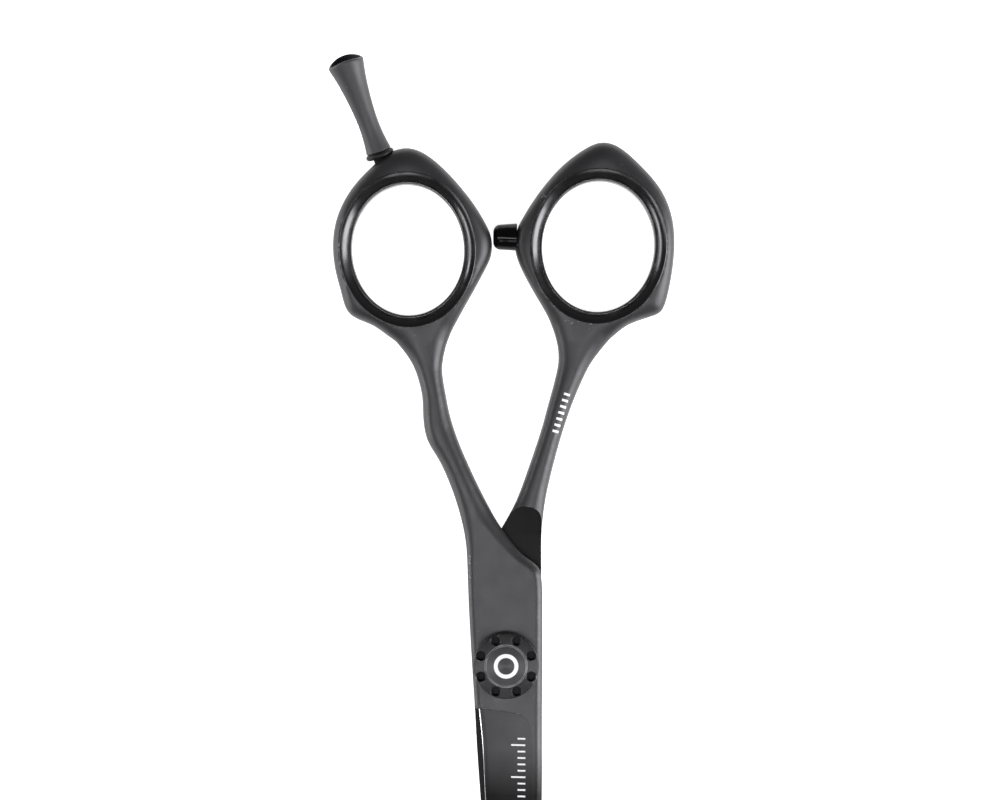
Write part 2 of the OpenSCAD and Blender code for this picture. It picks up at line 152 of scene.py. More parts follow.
def smooth_least(a, b, blend):
    """The smaller of two fields, rounded where they cross."""
    h = np.clip(0.5 + 0.5 * (b - a) / blend, 0.0, 1.0)
    return b + (a - b) * h - blend * h * (1 - h)


def through(knots, steps=8):
    """Smooth open curve through the knots."""
    knots = np.array(knots, float)
    last = len(knots) - 1
    curve = []
    for i in range(last):
        a, b = knots[max(i - 1, 0)], knots[i]
        c, d = knots[i + 1], knots[min(i + 2, last)]
        for t in np.arange(steps) / steps:
            curve.append(0.5 * (2 * b + (c - a) * t + (2 * a - 5 * b + 4 * c - d) * t ** 2
                                + (3 * b - a - 3 * c + d) * t ** 3))
    return np.array(curve + [knots[last]])


def bridge(loop, centre, reach):
    """The loop with a smooth span in place of its points within reach of a place."""
    near = np.linalg.norm(loop - np.array(centre), axis=1) < reach
    first = int(np.argmax(near & ~np.roll(near, 1)))
    loop, near = np.roll(loop, -first, axis=0), np.roll(near, -first)
    kept = loop[int(np.nonzero(near)[0][-1]) + 1:]
    start, end = kept[-1], kept[0]
    span = np.linalg.norm(end - start)
    leave = (start - kept[-4]) / np.linalg.norm(start - kept[-4]) * span
    arrive = (kept[3] - end) / np.linalg.norm(kept[3] - end) * span
    t = np.linspace(0, 1, 24)[1:-1, None]
    filled = ((2 * t ** 3 - 3 * t ** 2 + 1) * start + (t ** 3 - 2 * t ** 2 + t) * leave
              + (3 * t ** 2 - 2 * t ** 3) * end + (t ** 3 - t ** 2) * arrive)
    return np.vstack([filled, kept])


def slice_loops(node, height):
    """Closed loops where a level cuts a CAD node, largest first, in the plan."""
    sliced = bmesh.new()
    sliced.from_mesh(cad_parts[node].data)
    bmesh.ops.remove_doubles(sliced, verts=sliced.verts, dist=1e-6)
    found = bmesh.ops.bisect_plane(
        sliced, geom=sliced.verts[:] + sliced.edges[:] + sliced.faces[:],
        plane_co=(0, 0, (MID + height) * MM), plane_no=(0, 0, 1))["geom_cut"]
    links = {}
    for edge in (e for e in found if isinstance(e, bmesh.types.BMEdge)):
        a, b = edge.verts
        links.setdefault(a, []).append(b)
        links.setdefault(b, []).append(a)
    loops = []
    while links:
        here = next(iter(links))
        loop, before = [], None
        while here in links:
            loop.append((here.co.x / MM, here.co.y / MM))
            after = [v for v in links.pop(here) if v is not before and v in links]
            before, here = here, (after[0] if after else None)
        loops.append(counter_clockwise(np.array(loop)))
    sliced.free()
    return sorted(loops, key=lambda loop: -area(loop))


# ---------------------------------------------------------------- meshes

def mesh_object(name, vertices, faces):
    """A mesh object with its normals pointing out. Vertices are in millimetres."""
    mesh = bpy.data.meshes.new(name)
    mesh.from_pydata([tuple(v) for v in vertices], [], [tuple(f) for f in faces])
    tidy = bmesh.new()
    tidy.from_mesh(mesh)
    bmesh.ops.recalc_face_normals(tidy, faces=tidy.faces)
    tidy.to_mesh(mesh)
    tidy.free()
    made = bpy.data.objects.new(name, mesh)
    bpy.context.scene.collection.objects.link(made)
    return made


def row(k, count, base=0):
    """Vertex numbers of one row of a grid."""
    return [base + k * count + i for i in range(count)]


def strip(row_a, row_b, closed=True):
    """Quads between two rows of vertex numbers."""
    count = len(row_a)
    last = count if closed else count - 1
    return [(row_a[i], row_a[(i + 1) % count], row_b[(i + 1) % count], row_b[i])
            for i in range(last)]


def fill(border, spacing):
    """Points inside a border loop and the triangles that fill it. The border comes first."""
    low, high = border.min(0), border.max(0)
    rows = np.arange(low[1] + spacing / 2, high[1], spacing * math.sqrt(3) / 2)
    grid = np.array([
        (x + (k % 2) * spacing / 2, y)
        for k, y in enumerate(rows)
        for x in np.arange(low[0] + spacing / 3, high[0], spacing)])
    grid = grid[inside(grid, border)]
    grid = grid[distance(grid, border, closed=True) > 0.45 * spacing]
    made = delaunay_2d_cdt([Vector(p) for p in np.vstack([border, grid])], [],
                           [row(0, len(border))], 1, 1e-6)
    return np.array([tuple(v) for v in made[0]]), made[2]


def prism(name, loop, low, high):
    """A straight-sided solid over a loop."""
    count = len(loop)
    vertices = [(x, y, z) for z in (low, high) for x, y in loop]
    bottom, top = row(0, count), row(1, count)
    return mesh_object(name, vertices, strip(bottom, top) + [bottom[::-1], top])


def round_loop(radius, count):
    turn = np.arange(count) * 2 * math.pi / count
    return np.column_stack([radius * np.cos(turn), radius * np.sin(turn)])


def lathe(name, section, count=96):
    """A closed solid of revolution about Z from [radius, height] points, axis to axis."""
    vertices, rings = [], []
    for radius, height in section:
        if radius < 1e-6:
            rings.append([len(vertices)])
            vertices.append((0.0, 0.0, height))
        else:
            rings.append(row(0, count, len(vertices)))
            vertices += [(x, y, height) for x, y in round_loop(radius, count)]
    faces = []
    for a, b in zip(rings, rings[1:]):
        if len(a) == 1 and len(b) == 1:
            continue
        if len(a) == 1:
            faces += [(a[0], b[i], b[(i + 1) % count]) for i in range(count)]
        elif len(b) == 1:
            faces += [(a[i], a[(i + 1) % count], b[0]) for i in range(count)]
        else:
            faces += strip(a, b)
    if len(rings[0]) > 1:
        faces += strip(rings[-1], rings[0])
    return mesh_object(name, vertices, faces)


def cut(target, cutter):
    """Takes the cutter's solid out of the target."""
    modifier = target.modifiers.new("cut", "BOOLEAN")
    modifier.operation = "DIFFERENCE"
    modifier.solver = "MANIFOLD"
    modifier.object = cutter
    bpy.context.view_layer.update()
    shaped = bpy.data.meshes.new_from_object(
        target.evaluated_get(bpy.context.evaluated_depsgraph_get()))
    target.modifiers.clear()
    target.data = shaped
    bpy.data.objects.remove(cutter)


def clean(piece):
    """Welds the points that cuts leave together, and drops slivers and folded double faces."""
    mesh = bmesh.new()
    mesh.from_mesh(piece.data)
    bmesh.ops.triangulate(mesh, faces=mesh.faces)
    bmesh.ops.remove_doubles(mesh, verts=mesh.verts, dist=WELD)
    bmesh.ops.dissolve_degenerate(mesh, edges=mesh.edges, dist=WELD)
    bmesh.ops.triangulate(mesh, faces=mesh.faces)
    first = {}
    doubled = []
    for face in mesh.faces:
        corners = frozenset(vertex.index for vertex in face.verts)
        if corners in first:
            doubled += [first[corners], face]
        first[corners] = face
    bmesh.ops.delete(mesh, geom=doubled, context="FACES")
    loose = [edge for edge in mesh.edges if not edge.link_faces]
    bmesh.ops.delete(mesh, geom=loose, context="EDGES")
    mesh.to_mesh(piece.data)
    mesh.free()


def settle(piece, turned=False, place=None):
    """Puts a shaped piece in the frame in metres, with soft shading inside its edges."""
    matrix = Matrix.Scale(MM, 4) @ Matrix.Translation((0, 0, MID))
    if turned:
        matrix = matrix @ Matrix.Rotation(math.pi, 4, "Y")
    if place is not None:
        matrix = matrix @ place
    piece.data.transform(matrix)
    piece.data.shade_smooth()
    piece.data.set_sharp_from_angle(angle=SHARP_ANGLE)
    return piece


# ---------------------------------------------------------------- the two halves

FINE_SPACING = 0.1
OUTLINE_SPACING = 0.3
GRID_SPACING = 0.5
SLICE_LEVEL = 0.2         # height at which a half's plan is read
LIP_LEVEL = 2.6           # height at which an insert's lip is read
LIP_GAP = 0.03            # gap between a lip and its rebate
ROUND_ROWS = np.radians([0, 8, 16, 24, 33, 42])
CHAMFER = 0.85            # width and drop of the body's edge chamfer
SHANK_ROUND = 3.3         # width over which a shank's edge is rounded
SHANK_WALL = 0.55         # height of the straight wall left beside a shank
SPINE_LAND = 0.16         # share of the blade's width left beside its spine


class Half:
    """Plan of one half, read from its CAD node, with the height of its outer face."""

    body_step = 0.55      # how far the body stands outside the cutting edge

    def __init__(self, node, insert, mended, turned=False):
        side = np.array([-1.0, 1.0]) if turned else np.array([1.0, 1.0])
        loops = slice_loops(node, -SLICE_LEVEL if turned else SLICE_LEVEL)
        self.turned = turned

        def plan(loop):
            return counter_clockwise(loop * side)

        outer = resample(plan(loops[0]), FINE_SPACING)
        for centre, reach in mended:
            outer = resample(bridge(outer, centre, reach), FINE_SPACING)
        # The cutting edge looks left and the spine right
        normal = outward(outer)
        blade = outer[:, 1] < BLADE_TOP - 0.1
        edge = outer[blade & (normal[:, 0] < -0.8)]
        spine = outer[blade & (normal[:, 0] > 0.5)]
        self.edge = edge[np.argsort(edge[:, 1])]
        self.spine = spine[np.argsort(spine[:, 1])]
        self.opening = plan(loops[1])
        lip = resample(plan(slice_loops(insert, LIP_LEVEL)[0]), 0.4)
        self.rebate = lip + LIP_GAP * outward(lip)
        blank = outer.copy()
        blank[blade & (normal[:, 0] < 0)] -= (self.body_step, 0.0)
        blank = resample(blank, OUTLINE_SPACING)
        self.outline = soften(blank, 0.45, OUTLINE_SPACING)
        tip = int(np.argmin(self.outline[:, 1]))
        self.outline = np.roll(self.outline, -tip, axis=0)
        apex = int(np.argmax(self.outline[:, 1]))
        self.inner_side = self.outline[:apex + 1]
        self.outer_side = self.outline[apex:]

    def edge_x(self, y):
        return np.interp(y, self.edge[:, 1], self.edge[:, 0])

    def spine_x(self, y):
        return np.interp(y, self.spine[:, 1], self.spine[:, 0])

    def blade_width(self, y):
        return np.maximum(self.spine_x(y) - self.edge_x(y), 0.3)

    def ground_x(self, y):
        """The line beside the spine where the ground face begins."""
        return self.spine_x(y) - SPINE_LAND * self.blade_width(y)

    def crown(self, y):
        """Height of the outer face along the middle of the half."""
        body = FACE_OUT + (SHANK_TOP - FACE_OUT) * smooth_step(y, SHANK_START, SHANK_FULL)
        body = body + (RING_TOP - SHANK_TOP) * smooth_step(y, RING_START, RING_FULL)
        worn = np.clip((TAPER_START - y) / (TAPER_START - TIP), 0, 1)
        return body - (FACE_OUT - FACE_IN - TIP_THICK) * worn

    def top(self, points, d):
        """Height of the outer face at points d in from the outline, and the width of its rim."""
        y = points[:, 1]
        soft = smooth_step(y, SHANK_START - 1, SHANK_FULL)
        chamfer = CHAMFER * np.where(y < BLADE_TOP, np.clip(self.blade_width(y) / 8, 0.3, 1), 1.0)
        width = chamfer + (SHANK_ROUND - chamfer) * soft
        across = 0.5 * (distance(points, self.inner_side) + distance(points, self.outer_side))
        band = distance(points, self.rebate, closed=True) + d + 0.6
        width = smooth_least(width, 0.97 * across + np.maximum(0, y - 50), 0.3)
        width = smooth_least(width, band, 0.4)
        width = np.maximum(width, 0.1)
        crown = self.crown(y)
        wall = crown - chamfer + (SHANK_WALL - crown + chamfer) * soft
        bend = 1.3 + 0.7 * soft
        rise = np.clip(d / width, 0, 1)
        return wall + (crown - wall) * (1 - (1 - rise) ** bend) ** (1 / bend), width

    def blank(self, name):
        """The crowned solid, the same on both faces, before anything is cut."""
        outward_normal = outward(self.outline)
        _, width = self.top(self.outline, np.zeros(len(self.outline)))
        rows = [self.outline - outward_normal * (width * (1 - math.cos(t)))[:, None]
                for t in ROUND_ROWS]
        inner, triangles = fill(rows[-1], GRID_SPACING)
        count = len(self.outline)
        plan = np.vstack(rows[:-1] + [inner])
        depth = distance(plan, self.outline, closed=True)
        depth[:count] = 0.0
        height, _ = self.top(plan, depth)
        total = len(plan)
        vertices = np.vstack([np.column_stack([plan, height]), np.column_stack([plan, -height])])
        faces = []
        for k in range(len(ROUND_ROWS) - 1):
            faces += strip(row(k, count), row(k + 1, count))
            faces += strip(row(k + 1, count, total), row(k, count, total))
        base = (len(ROUND_ROWS) - 1) * count
        faces += [[base + v for v in t] for t in triangles]
        faces += [[base + total + v for v in reversed(t)] for t in triangles]
        faces += strip(row(0, count, total), row(0, count))
        return mesh_object(name, vertices, faces)


# Cutters of a blade stop past its tip and past both its sides
BLADE_END = TIP - 3.0
LEFT, RIGHT = -14.0, 12.0
# The pocket's end: how far in from the shank's outer side, and how far from the pivot
POCKET_END = through([
    (-2.5, 19.5), (-0.2, 20.6), (0.02, 21.7), (0.17, 23.06), (0.4, 23.9), (0.95, 24.5),
    (1.9, 24.82), (3.05, 24.86), (4.0, 24.62), (5.0, 23.9), (8.0, 23.1)])


def pocket_loop(half):
    """Plan of the room left for the other half. It ends in a curve across the shank."""
    outer = half.outer_side[half.outer_side[:, 1] > 5.0]
    reach = np.linalg.norm(outer, axis=1)
    order = np.argsort(reach)
    bearing = np.arctan2(outer[:, 1], outer[:, 0])[order]
    inset, radius = POCKET_END.T
    turn = np.interp(radius, reach[order], bearing) - inset / radius
    end = np.column_stack([radius * np.cos(turn), radius * np.sin(turn)])
    return np.vstack([[(RIGHT, 20.0), (RIGHT, BLADE_END), (LEFT, BLADE_END), (LEFT, 10.0)], end])


# Ground face
BEVEL_WIDTH = 0.1         # polished bevel along the cutting edge
BEVEL_TOP = 0.22          # height of the ground face at the polished bevel
GROUND_BULGE = 0.12       # how much the ground face swells between its two sides
# The step at its upper end: place across the blade, and how far it has dropped there
STEP_PLACE = (-4.3, -1.0, 2.2, 2.9, 3.4, 3.75, 3.95, 4.2)
STEP_DROP = (0.0, 0.25, 0.75, 1.05, 1.6, 2.5, 4.0, 6.5)
STEP_FADE = 14.0          # length over which the dropped rows become straight
STEP_LEAN = 0.28          # how far the step's wall leans back at the cutter's top
GROUND_ROOM = 3.6         # height of the cutter's top


def across_blade(half, y, shares):
    """Places across the blade at a level, from outside the edge to past the ground face."""
    edge, ground = half.edge_x(y), half.ground_x(y)
    start = edge + BEVEL_WIDTH
    inner = [start + (ground - start) * f for f in shares]
    return np.array([edge - 1.0, edge, start] + inner + [ground + 1.0])


def ground_cutter(half):
    """Room over the ground face. Its underside is the face itself."""
    levels = np.append(np.arange(BLADE_TOP, TIP - 0.5, -0.5), BLADE_END)
    shares = np.concatenate([np.linspace(0.1, 0.7, 7), np.linspace(0.76, 1, 9)])
    columns = len(shares) + 4
    plan, floor = [], []
    for level in levels:
        fade = max(0.0, 1 - (BLADE_TOP - level) / STEP_FADE)
        drop = np.interp(across_blade(half, BLADE_TOP, shares), STEP_PLACE, STEP_DROP)
        y = level - fade * drop
        x = np.array([across_blade(half, v, shares)[k] for k, v in enumerate(y)])
        start, ground = half.edge_x(y) + BEVEL_WIDTH, half.ground_x(y)
        crown = half.crown(y)
        share = (x - start) / np.maximum(ground - start, 0.05)
        bulge = GROUND_BULGE * 4 * np.clip(share, 0, 1) * (1 - np.clip(share, 0, 1))
        z = BEVEL_TOP + (crown - BEVEL_TOP) * share + bulge
        z[:2] = FACE_IN + 0.06
        plan.append(np.column_stack([x, y]))
        floor.append(z)
    flat = np.vstack(plan)
    bottom = np.column_stack([flat, np.concatenate(floor)])
    top = np.column_stack([flat, np.full(len(flat), GROUND_ROOM)])
    top[:columns, 1] += STEP_LEAN
    rows = len(levels)
    base = rows * columns
    faces = []
    for k in range(rows - 1):
        faces += strip(row(k, columns), row(k + 1, columns), closed=False)
        faces += strip(row(k + 1, columns, base), row(k, columns, base), closed=False)
    for side in (row(0, columns), row(rows - 1, columns), [k * columns for k in range(rows)],
                 [k * columns + columns - 1 for k in range(rows)]):
        faces += strip(side, [base + i for i in side], closed=False)
    return mesh_object("ground", np.vstack([bottom, top]), faces)


def beside_edge(half):
    """Plan of what lies outside the cutting edge."""
    y = np.append(np.arange(BLADE_TOP, BLADE_END, -0.5), BLADE_END)
    edge = np.column_stack([half.edge_x(y), y])
    return np.vstack([edge, [(LEFT, BLADE_END), (LEFT, BLADE_TOP)]])


def bored(name, section, place):
    """A round cutter from [radius, height] points, at its place in the half's layout."""
    made = lathe(name, section, 64)
    made.data.transform(place)
    return made


def hole(radius, low, high):
    """Section of a plain round hole for lathe or bored."""
    return [(0, low), (radius, low), (radius, high), (0, high)]


PAST_FACES = (-5, 5)                      # heights past both faces of a half
FAR = 9                                   # reach of the longest cutters
WASHER_SEAT = (4.9, 0.27)                 # radius and height above the middle plane
BUSH_RADIUS = 3.5
KEY_RADIUS, KEY_FLATS = 3.22, 5.44        # keyed hole for the bolt in the thumb half
STUD_HOLE = (1.27, 2.6)                   # radius and depth
SPOT_RADIUS = 2.4                         # flat under the seal ring
STEM_HOLE = (1.12, 1.82)
BUMPER_SEAT = 2.17
REST_FOOT = (-19.54, 79.18)
REST_LEAN, REST_TILT = math.radians(20.5), math.radians(9)
REST_AXIS = (Matrix.Translation((*REST_FOOT, 0)) @ Matrix.Rotation(REST_LEAN, 4, "Z")
             @ Matrix.Rotation(REST_TILT - math.pi / 2, 4, "X"))
BUMPER_PLACE = (1.75, 66.7)
BUMPER_AXIS = (Matrix.Translation((*BUMPER_PLACE, 0)) @ Matrix.Rotation(-math.pi / 2, 4, "Y"))


def shaped_half(half, name, finger):
    """One half cut to shape, in its own layout, in millimetres."""
    piece = half.blank(name)
    cut(piece, prism("opening", resample(half.opening, 0.4), *PAST_FACES))
    for low, high in ((REBATE, PAST_FACES[1]), (PAST_FACES[0], -REBATE)):
        cut(piece, prism("rebate", half.rebate, low, high))
    cut(piece, prism("pocket", pocket_loop(half), -FAR, FACE_IN))
    cut(piece, ground_cutter(half))
    cut(piece, prism("edge", beside_edge(half), *PAST_FACES))
    cut(piece, lathe("seat", hole(WASHER_SEAT[0], -1, WASHER_SEAT[1])))
    if finger:
        cut(piece, lathe("bore", hole(BUSH_RADIUS, -2, FAR)))
        cut(piece, bored("stud", hole(STUD_HOLE[0], -STUD_HOLE[1], FAR), REST_AXIS))
        cut(piece, bored("spot", hole(SPOT_RADIUS, 0, FAR), REST_AXIS))
    else:
        key = round_loop(KEY_RADIUS, 64)
        key[:, 1] = np.clip(key[:, 1], -KEY_FLATS / 2, KEY_FLATS / 2)
        cut(piece, prism("key", key, -2, FAR))
        side = Matrix.Translation((-BUMPER_PLACE[0], BUMPER_PLACE[1], 0)) @ Matrix.Rotation(
            math.pi / 2, 4, "Y")
        cut(piece, bored("stem", hole(STEM_HOLE[0], -STEM_HOLE[1], 5), side))
        cut(piece, bored("seat", hole(BUMPER_SEAT, 0, 5), side))
    clean(piece)
    return piece


# ---------------------------------------------------------------- small pieces

def swept_ring(name, loop, section):
    """A ring whose section, [distance outward, height] points, follows a convex loop."""
    normal = outward(loop)
    rows = [np.column_stack([loop + normal * out, np.full(len(loop), high)])
            for out, high in section]
    count = len(loop)
    faces = []
    for k in range(len(rows)):
        faces += strip(row(k, count), row((k + 1) % len(rows), count))
    return mesh_object(name, np.vstack(rows), faces)


def insert_section():
    """Sleeve with a lip over each face of the ring that slopes down to a small inner ledge."""
    top, under, sleeve = MID, REBATE + 0.02, 0.92
    crest, width = 1.78, 1.88
    ledge = (0.46, top - 1.0)
    rise, swell = 0.96, 0.16
    brow, turn_down = 0.04, 0.2
    upper = [(0, top - 1.7), (0.04, top - 1.3), (0.14, top - 1.12), (0.3, top - 1.06),
             (0.4, top - 1.08)]
    upper += [(ledge[0] + (crest - ledge[0]) * s,
               ledge[1] + rise * s + swell * math.sin(math.pi * s))
              for s in np.linspace(0, 1, 13)]
    upper += [(crest + (width - crest) * math.sin(t), top - brow - turn_down * (1 - math.cos(t)))
              for t in np.radians((30, 60, 90))]
    upper += [(width, under), (sleeve, under)]
    return upper + [(out, -high) for out, high in reversed(upper)]


def insert_ring(name, node, turned):
    """A lipped insert that follows the opening of its CAD node."""
    side = np.array([-1.0, 1.0]) if turned else np.array([1.0, 1.0])
    loop = counter_clockwise(slice_loops(node, 0.1)[1] * side)
    loop = resample(loop, FINE_SPACING)
    loop = resample(soften(loop, 0.5, FINE_SPACING), 0.35)
    loop = loop + 0.02 * outward(loop)
    return swept_ring(name, loop, insert_section())


def bumper_shape():
    """Stem, tapered base and round nose."""
    stem, length, base, nose_base, out, nose = 1.1, 1.8, 2.15, 1.98, 3.75, 1.1
    section = [(0, -length), (stem - 0.15, -length), (stem, -length + 0.15), (stem, 0.02),
               (base - 0.1, 0.02), (base, 0.12)]
    section += [(base + (nose_base - base) * f, 0.12 + (out - nose - 0.12) * f)
                for f in (0.25, 0.5, 0.75)]
    section += [(nose_base - nose * (1 - math.cos(t)), out - nose * (1 - math.sin(t)))
                for t in np.radians(np.arange(0, 91, 10))]
    return lathe("rubber_bumper", section + [(0, out)])


REST_FOOT_HEIGHT = 0.97
REST_LENGTH = 15.2
REST_WAIST = 0.3          # place of the waist along the rest
REST_RADII = (1.98, 1.6, 2.85)
DISH = 1.5
SADDLE = 0.36             # how far the rim of the dish rises in front and behind
SLANT = 0.12              # slope of the rim from front to back
BORE_DEPTH = 6.0


def rest_radius(f):
    base, waist, top = REST_RADII
    below = max(0.0, (REST_WAIST - f) / REST_WAIST) ** 2
    above = max(0.0, (f - REST_WAIST) / (1 - REST_WAIST)) ** 1.7
    return waist + (base - waist) * below + (top - waist) * above


def finger_rest_shape():
    """Waisted stem with a dished end and a blind bore for the stud."""
    foot, bore, rim = REST_FOOT_HEIGHT, STUD_HOLE[0], 0.32
    top = foot + REST_LENGTH
    section = [(bore, foot), (REST_RADII[0] - 0.2, foot), (REST_RADII[0] - 0.06, foot + 0.06)]
    section += [(rest_radius(f), foot + 0.2 + (REST_LENGTH - rim - 0.2) * f)
                for f in np.linspace(0, 1, 36)]
    lip = REST_RADII[2] - rim
    section += [(lip + rim * math.cos(t), top - rim + rim * math.sin(t))
                for t in np.radians(np.arange(15, 111, 15))]
    section += [(lip * 0.94 * math.cos(t), top - 0.05 - (DISH - 0.05) * math.sin(t) ** 0.8)
                for t in np.radians(np.arange(8, 90, 8))]
    section += [(0, top - DISH), (0, foot + BORE_DEPTH), (bore, foot + BORE_DEPTH)]
    piece = lathe("dished_finger_rest", section)
    for vertex in piece.data.vertices:
        x, y, z = vertex.co
        near_end = float(smooth_step(z, top - 4.0, top - 0.2))
        across = (y * y - x * x) / REST_RADII[2] ** 2
        vertex.co.z += near_end * (SADDLE * (across - 0.05) + SLANT * y)
    return piece


def o_ring_shape():
    cord, outer = 0.46, 2.25
    section = [(outer - cord + cord * math.cos(t), 0.02 + cord + cord * math.sin(t))
               for t in np.radians(np.arange(0, 360, 15))]
    return lathe("rest_o_ring", section)


KNOB_RADIUS = 5.15
KNOB_LOW, KNOB_TOP = 2.65, 5.15
CAP_RADIUS = 3.2
CAP_SEAT = 4.65
TEETH = 90
TOOTH_DEPTH = 0.1
KEY_HOLES = 8
KEY_CIRCLE = 4.23
KEY_HOLE = (0.7, 1.4)     # radius and depth


def knob_shape():
    """Knurled knob with a recess below, a seat for the cap and blind key holes."""
    recess, floor, thread = 4.4, 3.38, 2.29
    rim, bevel = KNOB_RADIUS, 0.3
    section = [(thread, CAP_SEAT), (CAP_RADIUS + 0.02, CAP_SEAT), (CAP_RADIUS + 0.02, KNOB_TOP),
               (rim - bevel, KNOB_TOP), (rim - 0.1, KNOB_TOP - 0.1),
               (rim, KNOB_TOP - bevel), (rim, KNOB_LOW + bevel), (rim - bevel, KNOB_LOW),
               (recess, KNOB_LOW), (recess, floor), (thread, floor)]
    knurled = {4: 0.5, 5: 1.0, 6: 1.0}        # share of the teeth's depth by section point
    per_tooth = 6
    count = TEETH * per_tooth
    piece = lathe("adjusting_knob_knurled", section, count)
    for ring, share in knurled.items():
        for i in range(count):
            tooth = abs((i % per_tooth) / per_tooth - 0.5) * 2
            vertex = piece.data.vertices[ring * count + i]
            shrink = 1 - TOOTH_DEPTH * share * (1 - tooth) / KNOB_RADIUS
            vertex.co.x *= shrink
            vertex.co.y *= shrink
    radius, depth = KEY_HOLE
    chamfer = 0.12
    drill = [(0, KNOB_TOP - depth), (radius, KNOB_TOP - depth), (radius, KNOB_TOP - chamfer),
             (radius + 2 * chamfer, KNOB_TOP + chamfer), (0, KNOB_TOP + chamfer)]
    for k in range(KEY_HOLES):
        turn = 2 * math.pi * (k + 0.5) / KEY_HOLES
        place = Matrix.Translation((KEY_CIRCLE * math.cos(turn), KEY_CIRCLE * math.sin(turn), 0))
        cut(piece, bored("key_hole", drill, place))
    return piece


def cap_shape():
    """Flat cap with a rounded rim."""
    low, top, bevel = CAP_SEAT + 0.02, KNOB_TOP + 0.15, 0.14
    section = [(0, low), (CAP_RADIUS, low), (CAP_RADIUS, top - bevel)]
    section += [(CAP_RADIUS - bevel * (1 - math.cos(t)), top - bevel * (1 - math.sin(t)))
                for t in np.radians((30, 60, 90))]
    return lathe("printed_knob_cap", section + [(0, top)])


# ---------------------------------------------------------------- finishes

class Finish:
    """A procedural material, with short ways to add nodes to its tree."""

    def __init__(self, name, **values):
        self.material = bpy.data.materials.new(name)
        self.material.use_nodes = True
        self.tree = self.material.node_tree
        self.shader = self.tree.nodes["Principled BSDF"]
        self.place = self.tree.nodes.new("ShaderNodeTexCoord").outputs["Object"]
        self.axes = self.add("ShaderNodeSeparateXYZ", self.place).outputs
        for label, value in values.items():
            self.put(label.replace("_", " "), value)

    def put(self, label, value):
        """Gives a value, or the output of a node, to an input of the shader."""
        self.give(value, self.shader.inputs[label])

    def give(self, value, socket):
        if isinstance(value, bpy.types.NodeSocket):
            self.tree.links.new(value, socket)
        elif isinstance(value, tuple) and len(value) == 3 and socket.type == "RGBA":
            socket.default_value = (*value, 1.0)
        else:
            socket.default_value = value

    def add(self, kind, *values, **settings):
        node = self.tree.nodes.new(kind)
        for label, value in settings.items():
            setattr(node, label, value)
        for value, socket in zip(values, node.inputs):
            self.give(value, socket)
        return node

    def maths(self, operation, *values):
        return self.add("ShaderNodeMath", *values, operation=operation).outputs[0]

    def noise(self, size, detail=3.0, stretch=(1, 1, 1)):
        """Noise from 0 to 1 in patches of a size in millimetres."""
        scale = tuple(1 / (size * MM * s) for s in stretch)
        moved = self.add("ShaderNodeVectorMath", self.place, scale, operation="MULTIPLY")
        texture = self.add("ShaderNodeTexNoise", moved.outputs[0])
        texture.inputs["Scale"].default_value = 1.0
        texture.inputs["Detail"].default_value = detail
        return texture.outputs["Fac"]

    def remap(self, value, low, high, to_low=0.0, to_high=1.0):
        return self.add("ShaderNodeMapRange", value, low, high, to_low, to_high).outputs[0]

    def within(self, value, centre, half_width):
        """One inside a band of a value in millimetres, zero outside, with a crisp rim."""
        offset = self.maths("ABSOLUTE", self.maths("SUBTRACT", value, centre))
        return self.remap(offset, half_width - 0.02, half_width + 0.02, 1.0, 0.0)

    def millimetres(self, axis):
        return self.maths("DIVIDE", self.axes[axis], MM)

    def radius(self):
        x, y = self.millimetres(0), self.millimetres(1)
        return self.maths("SQRT", self.maths(
            "ADD", self.maths("MULTIPLY", x, x), self.maths("MULTIPLY", y, y)))

    def mix(self, factor, a, b):
        node = self.tree.nodes.new("ShaderNodeMix")
        node.data_type = "RGBA"
        for value, label in ((factor, "Factor_Float"), (a, "A_Color"), (b, "B_Color")):
            socket = next(s for s in node.inputs if s.identifier == label)
            self.give(value, socket)
        return next(s for s in node.outputs if s.identifier == "Result_Color")

    def bump(self, height, depth, over=None):
        """Relief of a height from 0 to 1 over a depth in millimetres."""
        node = self.tree.nodes.new("ShaderNodeBump")
        node.inputs["Strength"].default_value = 1.0
        node.inputs["Distance"].default_value = depth * MM
        self.give(height, node.inputs["Height"])
        if over is not None:
            self.give(over, node.inputs["Normal"])
        self.put("Normal", node.outputs[0])
        return node.outputs[0]

    def worn_edges(self, reach):
        """One at sharp edges within a reach in millimetres, broken up by noise."""
        rounded = self.add("ShaderNodeBevel", samples=4)
        rounded.inputs["Radius"].default_value = reach * MM
        flat = self.tree.nodes.new("ShaderNodeNewGeometry").outputs["Normal"]
        turn = self.add("ShaderNodeVectorMath", rounded.outputs[0], flat,
                        operation="DOT_PRODUCT").outputs["Value"]
        edge = self.remap(turn, 0.985, 0.93)
        return self.maths("MULTIPLY", edge, self.remap(self.noise(0.8), 0.60, 0.70))


def grey(level, blue=1.04):
    return (level, level, level * blue)


def coated(name, level, roughness, grain=0.0025):
    """Satin black coating: mottled, finely grained, with slight wear on its edges."""
    made = Finish(name, Specular_IOR_Level=0.5)
    patches = made.noise(6.0, 4.0)
    colour = made.mix(patches, grey(level * 0.92), grey(level * 1.1))
    specks = made.remap(made.noise(0.35, 2.0), 0.74, 0.78)
    colour = made.mix(specks, colour, grey(level * 5))
    colour = made.mix(made.worn_edges(0.12), colour, grey(0.28, 1.0))
    made.colour = colour
    made.put("Base Color", colour)
    rough = made.remap(made.noise(2.4, 5.0), 0.3, 0.7, roughness - 0.025, roughness + 0.035)
    made.put("Roughness", rough)
    coarse = made.bump(made.noise(0.9, 3.0), grain)
    made.bump(made.noise(0.12, 2.0), grain * 0.6, over=coarse)
    return made


def printed(made, mask):
    """Adds matt white print where the mask is one."""
    colour = made.mix(mask, made.colour, grey(0.82, 1.0))
    made.put("Base Color", colour)
    return made


